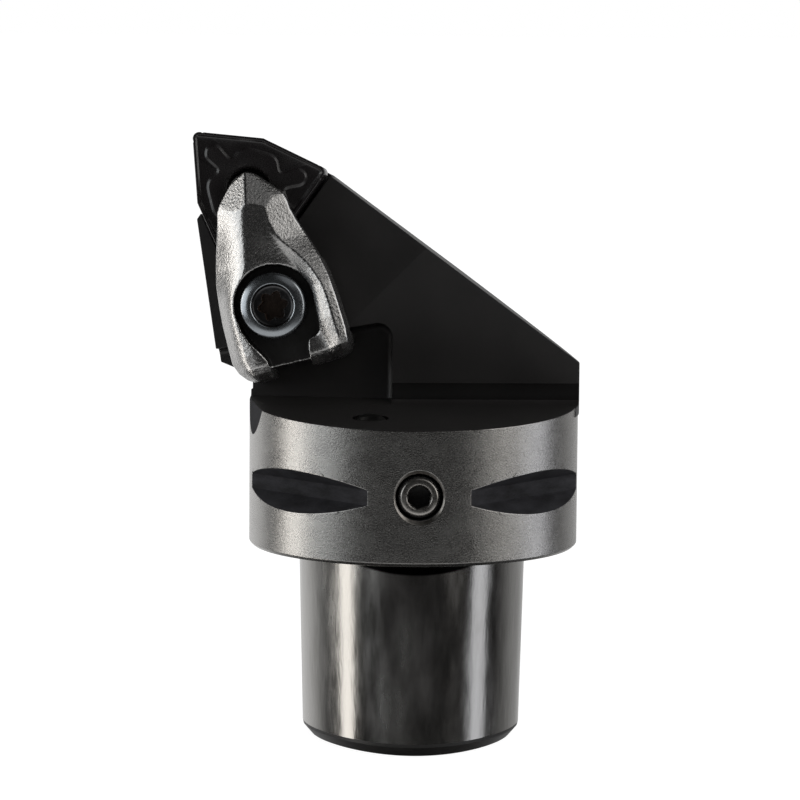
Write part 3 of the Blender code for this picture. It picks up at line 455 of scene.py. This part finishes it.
# Grain: a fine noise and a cloudy one over the piece, both from 0 to 1, sized in metres
grain_tree, given, put = effect(
    "metal_grain",
    [("Grain Size", "Float", 0.0003), ("Cloud Size", "Float", 0.006), ("Stretch", "Vector", (1, 1, 1))],
    [("Grain", "Float"), ("Cloud", "Float")])
where = link(grain_tree, "VectorMath", {"operation": "MULTIPLY"})
grain_tree.links.new(link(grain_tree, "TexCoord").outputs["Object"], where.inputs[0])
grain_tree.links.new(given["Stretch"], where.inputs[1])
fine = link(grain_tree, "TexNoise", Vector=where.outputs[0], Detail=3.0, Roughness=0.6,
            Scale=maths(grain_tree, "DIVIDE", 1.0, given["Grain Size"]))
cloud = link(grain_tree, "TexNoise", Vector=where.outputs[0], Detail=4.0, Roughness=0.55,
             Scale=maths(grain_tree, "DIVIDE", 1.0, given["Cloud Size"]))
for source, label in ((fine, "Grain"), (cloud, "Cloud")):
    spread = link(grain_tree, "MapRange", Value=source.outputs[0], From_Min=0.3, From_Max=0.7)
    grain_tree.links.new(spread.outputs[0], put[label])


def metal(name, dark, light, rough_low, rough_high, metallic, grain_size, cloud_size, bump,
          stretch=(1, 1, 1), cloud_share=0.6, specular=0.5):
    """A metal or blacked finish whose colour and gloss wander between two values with grain and clouds."""
    mat = bpy.data.materials.new(name)
    mat.use_nodes = True
    tree = mat.node_tree
    shader = tree.nodes["Principled BSDF"]
    shader.inputs["Metallic"].default_value = metallic
    shader.inputs["Specular IOR Level"].default_value = specular
    grain = tree.nodes.new("ShaderNodeGroup")
    grain.node_tree = grain_tree
    grain.inputs["Grain Size"].default_value = grain_size
    grain.inputs["Cloud Size"].default_value = cloud_size
    grain.inputs["Stretch"].default_value = stretch
    mixed = maths(tree, "ADD", maths(tree, "MULTIPLY", grain.outputs["Cloud"], cloud_share),
                  maths(tree, "MULTIPLY", grain.outputs["Grain"], 1 - cloud_share), clamp=True)
    ramp = link(tree, "ValToRGB", Fac=mixed)
    ramp.color_ramp.elements[0].color = (*dark, 1)
    ramp.color_ramp.elements[1].color = (*light, 1)
    tree.links.new(ramp.outputs["Color"], shader.inputs["Base Color"])
    rough = link(tree, "MapRange", Value=mixed, To_Min=rough_low, To_Max=rough_high)
    tree.links.new(rough.outputs[0], shader.inputs["Roughness"])
    if bump:
        relief = link(tree, "Bump", Height=grain.outputs["Grain"], Distance=bump, Strength=1.0)
        tree.links.new(relief.outputs[0], shader.inputs["Normal"])
    return mat


black_oxide = metal("black_oxide", (0.0065, 0.0052, 0.0052), (0.0115, 0.0095, 0.009), 0.44, 0.55, 0.0,
                    0.0003, 0.009, 0.000004, cloud_share=0.7, specular=1.0)
slot_black = metal("slot_black", (0.016, 0.0155, 0.0165), (0.044, 0.044, 0.049), 0.6, 0.75, 0.0,
                   0.0004, 0.003, 0.00001, (1, 1, 3), cloud_share=0.7, specular=0.05)
# Painted shade: the fillet between the shelf and the head's upright front gets a darker black than the
# oxide, for the shade in that corner
fillet_painted_shade = metal("fillet_painted_shade", (0.003, 0.0025, 0.0025), (0.006, 0.005, 0.005), 0.5, 0.6, 0.0,
                     0.0003, 0.009, 0.000004, cloud_share=0.7, specular=0.25)
ground_rim = metal("ground_rim", (0.33, 0.322, 0.31), (0.47, 0.46, 0.445), 0.22, 0.32, 1.0,
                   0.0002, 0.003, 0.000012, (1, 1, 1.6), cloud_share=0.45)
polished_shank = metal("polished_shank", (0.23, 0.223, 0.21), (0.41, 0.403, 0.388), 0.1, 0.3, 1.0,
                       0.0011, 0.004, 0.000007, (1, 1, 0.3), cloud_share=0.8)
# Painted shade: a black crescent on the front lobe, close under the flange, where the flange's shadow falls
# on the shank
crescent_height, crescent_curve, crescent_blur = 0.0221, 17.0, (-0.0001, 0.0002)
tree = polished_shank.node_tree
spot = link(tree, "SeparateXYZ", Vector=link(tree, "TexCoord").outputs["Object"])
across = maths(tree, "SUBTRACT", spot.outputs["X"], tool_axis_x)
dip = maths(tree, "MULTIPLY", maths(tree, "MULTIPLY", across, across), crescent_curve)
over = maths(tree, "SUBTRACT", maths(tree, "SUBTRACT", spot.outputs["Z"], dip), crescent_height)
front_side = link(tree, "MapRange", Value=spot.outputs["Y"], From_Min=0.0, From_Max=-0.002)
painted_shade_share = maths(tree, "MULTIPLY", fade(tree, over, *crescent_blur, 0.0, 1.0), front_side.outputs[0])
shader = tree.nodes["Principled BSDF"]
painted_shade_mix = tree.nodes.new("ShaderNodeMix")
painted_shade_mix.data_type = "RGBA"
tree.links.new(painted_shade_share, painted_shade_mix.inputs["Factor"])
tree.links.new(shader.inputs["Base Color"].links[0].from_socket, painted_shade_mix.inputs[6])
painted_shade_mix.inputs[7].default_value = (0.006, 0.006, 0.006, 1)
tree.links.new(painted_shade_mix.outputs[2], shader.inputs["Base Color"])
# Painted shade: the foot's chamfer gets a dark, dull finish for the shaded table under the foot that it
# mirrors
chamfer_painted_shade = metal("chamfer_painted_shade", (0.008, 0.0075, 0.007), (0.02, 0.019, 0.018), 0.4, 0.5, 0.0,
                      0.0004, 0.004, 0.000004, cloud_share=0.6, specular=0.35)
bore_steel = metal("bore_steel", (0.12, 0.12, 0.12), (0.2, 0.2, 0.2), 0.3, 0.45, 1.0, 0.0004, 0.004,
                   0.000004, cloud_share=0.6)
bare_sink = metal("bare_sink", (0.24, 0.22, 0.2), (0.5, 0.48, 0.45), 0.25, 0.4, 1.0, 0.0004, 0.002,
                  0.0, cloud_share=0.5)
give_finishes(body, black_oxide, ground_rim, polished_shank, bore_steel, bare_sink, slot_black,
              chamfer_painted_shade, fillet_painted_shade)
BLACK, RIM, SHANK, BORE, SINK, SLOT, CHAMFER, FILLET = range(8)
for face in body.data.polygons:
    x, y, z = face.center.x - tool_axis_x / MM, face.center.y, face.center.z
    reach, normal = math.hypot(x, y), face.normal
    outward = (normal.x * x + normal.y * y) / max(reach, 0.001)
    foot_ring = z < 0.01 and reach > 10.2
    on_rim = abs(reach - flange_r) < 0.06 and outward > 0.9
    under_flange = normal.z < -0.5 and z < shank_length + 0.5
    in_slot = z < 39.9 and reach < flange_r - 0.06
    on_run_out = x < -18 and z < 41.5 and outward > 0.7
    in_fillet = 40.8 < z < 44.4 and -4.2 < y < head_front and normal.y < -0.6 and 0.03 < normal.z < 0.75
    if z < 1.55 and (outward > 0.3 or foot_ring):
        face.material_index = CHAMFER
    elif z < shank_length + 0.02 and outward > 0.3:
        face.material_index = SHANK
    elif on_rim or under_flange:
        face.material_index = RIM
    elif reach < 10.6 and outward < 0.3 and z < 31:
        face.material_index = BORE
    elif y < -19.2 and 2.81 < math.hypot(x, z - plug_height) < 3.4:
        face.material_index = SINK
    elif in_slot or on_run_out:
        face.material_index = SLOT
    elif in_fillet:
        face.material_index = FILLET
    else:
        face.material_index = BLACK
break_edges(body, 0.08, crease=6)
finish_piece(body, "holder_body_fine", "holder_body")

# The shim is a ground carbide plate under the insert, held by its own small countersunk screw.
# Both are nearly hidden, so the CAD pieces stay and only get their finish.
shim_carbide = metal("shim_carbide", (0.03, 0.028, 0.027), (0.06, 0.057, 0.055), 0.35, 0.5, 0.6, 0.0003,
                     0.003, 0.000003)
shim_bolt = metal("shim_bolt", (0.06, 0.06, 0.06), (0.12, 0.12, 0.12), 0.3, 0.45, 1.0, 0.0003, 0.002,
                  0.000003)
give_finishes(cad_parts["shim"], shim_carbide)
give_finishes(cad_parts["shim_screw"], shim_bolt)

# The insert is pressed and sintered carbide with a black coating. Inside its ground land a chip
# former is pressed in: a groove all round and a wavy wall with a finger to each corner. The clamp's
# nose holds it down on the shim.
insert_hole = 2.58
# The former's wall line, as (degrees off the corner's aim, distance from the insert's centre)
former = [(0, 7.12), (2, 7.1), (4.5, 6.92), (6.5, 6.75), (8.2, 6.5), (9.3, 6.15), (9.6, 5.8),
          (9.9, 5.36), (10.5, 4.9), (11.5, 4.6), (13.5, 4.4), (17, 4.32), (20.8, 4.38), (25, 4.56),
          (30.7, 4.84), (36, 4.97), (42, 4.98), (50, 4.86), (60, 4.78)]
wall_turns = steps_between(0, 8, 1) + steps_between(8.3, 14, 0.3) + steps_between(15, 60, 1.5)


def former_ring(offset, height):
    """The chip former's wall line, moved out by offset."""
    turns = [(corner * 120 + 135 + side * turn, turn) for corner in range(3) for side in (-1, 1)
             for turn in (wall_turns[::-1] if side < 0 else wall_turns[1:-1])]
    line = []
    for turn, off in turns:
        radius = float(np.interp(off, *zip(*former)))
        line.append((radius * math.cos(math.radians(turn)), radius * math.sin(math.radians(turn))))
    ring = []
    for k, (x, y) in enumerate(line):
        (ax, ay), (bx, by) = line[k - 1], line[(k + 1) % len(line)]
        run = math.hypot(bx - ax, by - ay)
        ring.append((x + (by - ay) / run * offset, y - (bx - ax) / run * offset, height))
    return ring


def round_ring(radius, height):
    """A circle about the insert's centre, with its points at the same turns as the former's wall."""
    return [(radius * math.cos(math.atan2(y, x)), radius * math.sin(math.atan2(y, x)), height)
            for x, y, z in former_ring(0, 0)]


def edge_ring(inward, height):
    """The insert's outline moved inward, read at the same turns as the former's wall."""
    flanks = [math.radians(135 + corner * 120 + side * 50) for corner in range(3) for side in (-1, 1)]
    inscribed, nose = insert_r - inward, max(0.15, insert_nose - inward)
    reach = (inscribed - nose) / math.sin(corner_half)
    ring = []
    for x, y, z in former_ring(0, 0):
        turn = math.atan2(y, x)
        radius = min(inscribed / math.cos(turn - flank) for flank in flanks if math.cos(turn - flank) > 0.1)
        corner = min((math.radians(135 + k * 120) for k in range(3)),
                     key=lambda aim: abs(math.remainder(turn - aim, math.tau)))
        off = math.remainder(turn - corner, math.tau)
        swing = nose ** 2 - (reach * math.sin(off)) ** 2
        if swing > 0:
            radius = min(radius, reach * math.cos(off) + math.sqrt(swing))
        ring.append((radius * math.cos(turn), radius * math.sin(turn), height))
    return ring


foot = -insert_thick
hole_rings = [round_ring(insert_hole, foot + 0.3), round_ring(insert_hole, -0.35),
              round_ring(insert_hole + 0.28, -0.05), round_ring(insert_hole + 0.36, 0)]
wall_rings = [former_ring(-0.16, 0), former_ring(-0.11, -0.02), former_ring(0.15, -0.27),
              former_ring(0.23, -0.285)]
land_rings = [edge_ring(0.6, -0.27), edge_ring(0.42, -0.17), edge_ring(0.34, -0.04), edge_ring(0.28, 0),
              edge_ring(0.1, 0), edge_ring(0.04, -0.02), edge_ring(0, -0.09)]
under_rings = [edge_ring(0, foot + 0.09), edge_ring(0.04, foot + 0.02), edge_ring(0.1, foot),
               round_ring(3.1, foot), round_ring(2.9, foot + 0.03)]
insert = skin("insert", hole_rings + wall_rings + land_rings + under_rings, centre, closed=True)
insert.data.shade_smooth()
insert.data.set_sharp_from_angle(angle=math.radians(62))
coated_carbide = metal("coated_carbide", (0.0075, 0.006, 0.0063), (0.0125, 0.0105, 0.011), 0.22, 0.3, 0.0,
                       0.0002, 0.004, 0.000002, specular=0.9)
give_finishes(insert, coated_carbide)
finish_piece(insert, "insert_fine", "insert")

# The clamp is forged steel, tumbled until its edges are soft: a nose of two facets that presses on
# the insert, a valley between two ridges, a well for the screw and an open tail between two legs.
clamp_tail, clamp_nose, clamp_skew, clamp_foot = -8.25, 16.5, 0.09, -6.2
well_across, well_along, well_r = 0.13, 0.1, 4.82
well_floor, tail_left, tail_right, belly = 1.2, -1.95, 3.0, -1.7
# Lines along the clamp as (place along it, place across it), and heights over the insert's face
left_edge = [(-8.25, -4.1), (-7.66, -5.15), (-6.58, -6.1), (-5.38, -6.62), (-2.94, -6.72), (-0.86, -6.78),
             (1.42, -6.7), (3.71, -6.52), (5.92, -6.12), (8.1, -5.54), (10.26, -4.88), (12.43, -4.28),
             (13.19, -3.88), (15.49, -2.01), (16.1, -1.2), (16.5, 0)]
left_crest = [(-8.25, -3.2), (-6, -2.9), (-4.5, -3), (-1.5, -3.5), (1.5, -3.2), (3.5, -2.5), (5.5, -1.8),
              (7, -1.6), (8.5, -1.35), (10, -1.2), (11.5, -0.85), (12.85, -0.4), (16.5, 0)]
left_height = [(-8.25, 2.3), (-7.5, 3.6), (-6.6, 4.3), (-5, 4.5), (0, 4.4), (3.5, 4.3), (7, 4.35),
               (10, 4.3), (12.85, 4.25), (16.5, 2.6)]
left_side = [(-8.25, 0.5), (-7, 0.7), (0, 0.4), (3.5, 0.4), (7, 0.5), (8.5, 0.7), (10, 1.2), (12.2, 2),
             (13, 2.1), (14.5, 2), (16.5, 1.7)]
right_floor = [(-8.25, 5.3), (-6, 5.05), (-4.5, 4.6), (-3, 4.4), (0, 4.4), (1.5, 4.3), (3.5, 3.5),
               (5.5, 2.9), (6.5, 2.5), (7.5, 2.05), (8.5, 1.6), (10, 1.25), (12, 1.15), (12.85, 0.55),
               (16.5, 0)]
valley_height = [(-8.25, 1.9), (-7.5, 2.8), (-6.8, 3.2), (-5, 3.15), (-3, 3.1), (0, 2.95), (1.5, 2.88),
                 (3.5, 2.95), (5.5, 3.28), (6.5, 3.5), (7.5, 3.72), (8.5, 3.88), (10, 3.95), (12, 3.95),
                 (12.85, 4.1), (16.5, 2.6)]
right_crest = [(-8.25, 6.5), (-7, 7), (-6, 7.05), (-4.5, 6.9), (-3, 6.8), (-1.5, 6.72), (0, 6.58),
               (1.5, 6.3), (3.5, 5.5), (4.5, 4.95), (5.5, 4.3), (6.5, 3.45), (7.5, 2.65), (8.5, 2.15),
               (10, 1.7), (12, 1.6), (12.85, 1), (16.5, 0.05)]
right_height = [(-8.25, 2.8), (-7.5, 4.1), (-6.8, 4.8), (-6, 5.15), (-3, 5.2), (0, 5), (1.5, 4.77),
                (3.5, 4.36), (4.5, 4.2), (5.5, 4.08), (6.5, 4.03), (7.5, 4), (8.5, 3.98), (10, 3.98),
                (12, 3.97), (12.85, 4.1), (16.5, 2.65)]
left_break = [(-8.25, 0.8), (1.5, 0.8), (3.5, 0.66), (5.5, 0.57), (16.5, 0.57)]
outer_fall = [(-8.25, 0.45), (1.5, 0.46), (5.5, 0.5), (8.5, 0.53), (16.5, 0.53)]
right_edge = [(-8.28, 6.4), (-7.83, 7.45), (-6.71, 7.97), (-4.88, 8.05), (-2.63, 7.9), (-0.06, 7.69),
              (2.32, 7.36), (4.14, 6.9), (6.64, 6.02), (9.47, 4.93), (11.02, 4.45), (12.04, 4.35),
              (13.12, 4.02), (15.35, 1.85), (16.1, 1.1), (16.5, 0.1)]


def clamp_section(along, rounding=3):
    """The clamp's top across its width: the left fall, the valley, the right ridge and its outer fall."""
    at = lambda line: float(np.interp(along, *zip(*line)))
    left, crest, ridge, right = at(left_edge), at(left_crest), at(right_crest), at(right_edge)
    side, top, valley, ridge_top = at(left_side), at(left_height), at(valley_height), at(right_height)
    floor = min(at(right_floor), ridge)
    fall = lambda f, drop: (left + (crest - left) * f, side + (top - side) * drop)
    inner = lambda f, rise: (floor + (ridge - floor) * f, valley + (ridge_top - valley) * rise)
    outer = lambda f: (ridge + (right - ridge) * f, ridge_top - (right - ridge) * f * at(outer_fall))
    line = [(left, side), fall(0.43, at(left_break)), fall(0.79, 0.77 + 0.25 * at(left_break)),
            (crest, top), (crest + (floor - crest) * 0.5, valley * 0.65 + top * 0.35), (floor, valley),
            inner(0.5, 0.62), inner(0.93, 0.947), inner(0.98, 0.985), (ridge, ridge_top),
            outer(0.03), outer(0.08), outer(0.86), outer(0.98), (right, outer(0.98)[1] - 0.12)]
    for _ in range(rounding):
        cut = [line[0]]
        for (a, b), (c, d) in zip(line, line[1:]):
            cut += [(a * 0.75 + c * 0.25, b * 0.75 + d * 0.25), (a * 0.25 + c * 0.75, b * 0.25 + d * 0.75)]
        line = cut + [line[-1]]
    return [(left, clamp_foot)] + line + [(right, clamp_foot)]


rings = []
for along in steps_between(clamp_tail, 15.0, 0.16) + steps_between(15.05, clamp_nose - 0.01, 0.06):
    skew = clamp_skew * max(0, along / clamp_tail)
    rings.append([(t, along + skew * t, h) for t, h in clamp_section(along)])
clamp = skin("clamp", rings, clamp_axis)


def facet(name, one, two, three, place):
    """A cutter that takes off all that stands above the plane through three points."""
    corner, flat = Vector(one), [Vector(two) - Vector(one), Vector(three) - Vector(one)]
    up = flat[0].cross(flat[1]).normalized()
    up = up if up.z > 0 else -up
    side = flat[0].normalized()
    turn = Matrix((side, up.cross(side), up)).transposed().to_4x4()
    return block(name, (-14, -14, 0), (14, 14, 9), place @ Matrix.Translation(corner) @ turn)


well = [(well_across + well_r * math.cos(a), well_along + well_r * math.sin(a)) for a in
        (math.radians(-2 + 184 * k / 64) for k in range(65))]
well += [(-4.6, -0.9), (-4.3, -2.3), (-3.6, -3.9), (-2.6, -5.3), (-2.05, -6.3), (tail_left, -7.2),
         (tail_left, -12), (tail_right, -12), (tail_right, -7.2), (3.02, -6.0), (3.2, -5.1), (3.5, -4.75),
         (4.3, -4.55), (4.75, -4.1), (4.93, -3.3)]
pin_at = clamp_axis.inverted() @ centre.translation
nose_tip, nose_fold = (0.07, 16.39, 2.6), (-0.45, 12.85, 4.15)
under = [block("under_nose", (-15, 4.6, -13), (15, 30, 0.3), clamp_axis),
         block("under_belly", (-15, -4.8, -13), (15, 4.9, belly), clamp_axis),
         block("heel_gap", (-2, -15, -15), (3, -4.5, belly), clamp_axis),
         slab("well", well, well_floor, 15, clamp_axis),
         block("tail_end", (tail_left, -15, -15), (tail_right, -7.2, 15), clamp_axis),
         lathe("screw_hole", [(0, -13), (3.3, -13), (3.3, 15), (0, 15)], clamp_axis, 64),
         facet("left_nose", nose_tip, nose_fold, (-3.75, 13.1, 2.2), clamp_axis),
         facet("right_nose", nose_tip, nose_fold, (4.15, 13.03, 2.7), clamp_axis)]
carve(clamp, under)
carve(clamp, [lathe("pin", [(0, -2.2), (1.7, -2.2), (1.7, 1), (0, 1)],
                    clamp_axis @ Matrix.Translation((pin_at.x, pin_at.y, 0)), 64)], "UNION")
# Tumbling rounds every edge alike
melt = clamp.modifiers.new("tumbled", "REMESH")
melt.mode = "VOXEL"
melt.voxel_size = 0.14
soft = clamp.modifiers.new("soft edges", "SMOOTH")
soft.factor = 0.5
soft.iterations = 3
settle(clamp)
clamp.data.shade_smooth()
tumbled_steel = metal("tumbled_steel", (0.42, 0.415, 0.405), (0.72, 0.71, 0.70), 0.21, 0.31, 1.0,
                      0.0003, 0.003, 0.000023, cloud_share=0.35)
# Painted shade: the clamp's well and the plug's hexagon socket get a near-black finish for the shade inside
# them
recess_painted_shade = metal("recess_painted_shade", (0.013, 0.012, 0.0115), (0.03, 0.029, 0.028), 0.4, 0.55, 0.3,
                   0.0003, 0.003, 0.000006)
give_finishes(clamp, tumbled_steel, recess_painted_shade)
TUMBLED, WELL = range(2)
into_clamp = clamp_axis.inverted()
for face in clamp.data.polygons:
    t, along, high = into_clamp @ face.center
    up = into_clamp.to_3x3() @ face.normal
    in_round = math.hypot(t - well_across, along - well_along) < well_r + 0.17
    in_tail = -4.75 < t < 5.3 and -7.0 < along < 0
    on_floor, on_wall = high < well_floor + 0.3, up.z < 0.45 and high < 4.9
    in_well = high > well_floor - 0.1 and (in_round or in_tail) and (on_floor or on_wall)
    face.material_index = WELL if in_well else TUMBLED
finish_piece(clamp, "clamp_fine", "clamp")

# The clamp screw is turned from steel and hardened, with a polished ring round a dished middle and a
# six-lobed socket pressed in. It stands in the clamp's well and pulls the clamp down on the insert.
def six_lobes(outer, count=96):
    """Outline of a six-lobed socket."""
    inner = outer * 0.72
    ring = []
    for k in range(count):
        a = math.tau * k / count
        wave = 0.5 + 0.5 * math.cos(6 * a)
        radius = inner + (outer - inner) * wave ** 0.8
        ring.append((radius * math.cos(a), radius * math.sin(a)))
    return ring


screw = lathe("screw", [(0, 3.6), (2.1, 3.6), (2.4, 3.7), (2.55, 4.12), (2.66, 4.24), (2.78, 4.26),
                        (3.2, 4.12), (3.6, 3.97), (3.8, 3.86), (3.93, 3.7), (4.0, 3.5), (4.0, 1.6),
                        (3.9, 1.5), (3.0, 1.5), (3.0, -14.7), (2.7, -15), (0, -15)], clamp_axis, 160)
carve(screw, [slab("socket", six_lobes(1.85), 1.3, 6, clamp_axis)])
bright_screw = metal("bright_screw", (0.40, 0.43, 0.46), (0.52, 0.555, 0.585), 0.22, 0.3, 1.0,
                     0.0004, 0.003, 0.0)
# Painted shade: the screw head's dished middle gets a dark steel colour for the shade in the dish
dish_painted_shade = metal("dish_painted_shade", (0.07, 0.07, 0.072), (0.13, 0.13, 0.134), 0.25, 0.35, 1.0,
                  0.0003, 0.001, 0.0)
socket_brown = metal("socket_brown", (0.03, 0.018, 0.012), (0.075, 0.048, 0.034), 0.3, 0.45, 0.3,
                     0.0003, 0.001, 0.000004)
give_finishes(screw, bright_screw, dish_painted_shade, socket_brown)
RING, DISH, SOCKET = range(3)
for face in screw.data.polygons:
    t, along, high = into_clamp @ face.center
    reach, up = math.hypot(t, along), (into_clamp.to_3x3() @ face.normal).z
    if high > 1.2 and reach < 1.9 and (up < 0.5 or high < 3.2):
        face.material_index = SOCKET
    elif high > 3.3 and reach < 2.5:
        face.material_index = DISH
    else:
        face.material_index = RING
break_edges(screw, 0.05, 2, 40)
finish_piece(screw, "clamp_screw_fine", "clamp_screw")

# The clamp's spring is wound from bright wire round the clamp screw, under the clamp, and lifts it
# when the screw is slackened. It is nearly hidden, so the CAD piece stays and gets its finish.
spring_wire = metal("spring_wire", (0.3, 0.3, 0.31), (0.42, 0.42, 0.43), 0.25, 0.35, 1.0,
                    0.0004, 0.003, 0.0)
give_finishes(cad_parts["clamp_spring"], spring_wire)

# The plug screw closes the cross drilling at the flange's front. It is a steel set screw with a
# coned hexagon socket, turned in until its face lies just under the ground rim.
plug = lathe("plug", [(0, 19.6), (2.0, 19.6), (2.2, 19.5), (2.5, 19.15), (2.5, 13.9), (2.2, 13.6),
                      (0, 13.6)], plug_axis, 96)
key_width, key_turn = 2.5, 0.35
hex_turns = [math.pi * k / 3 + key_turn for k in range(6)]
hex_reach = key_width / 2 / math.cos(math.pi / 6)
carve(plug, [slab("hexagon", [(hex_reach * math.cos(a), hex_reach * math.sin(a)) for a in hex_turns],
                  17.1, 21, plug_axis),
             lathe("lead_in", [(0, 20), (1.85, 20), (1.2, 19.2), (0, 19.2)], plug_axis, 64)])
plug_steel = metal("plug_steel", (0.34, 0.32, 0.3), (0.62, 0.6, 0.57), 0.22, 0.34, 1.0,
                   0.0003, 0.001, 0.000004)
give_finishes(plug, plug_steel, recess_painted_shade)
# The hexagon socket gets the painted shade of a recess
PLUG_FACE, HEX_SOCKET = range(2)
for face in plug.data.polygons:
    spot = plug_axis.inverted() @ face.center
    in_socket = math.hypot(spot.x, spot.y) < 1.5 and spot.z < 19.35
    face.material_index = HEX_SOCKET if in_socket else PLUG_FACE
break_edges(plug, 0.05, 2, 40)
finish_piece(plug, "plug_fine", "coolant_plug_screw")

# The coolant nozzle is a drilled steel ball pressed into its seat in the shelf, so that it can be
# turned towards the insert. The CAD piece stays and gets its dark finish.
dark_screw = metal("dark_screw", (0.09, 0.088, 0.085), (0.16, 0.157, 0.15), 0.25, 0.35, 1.0,
                   0.0003, 0.002, 0.000003)
give_finishes(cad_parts["coolant_nozzle"], dark_screw)
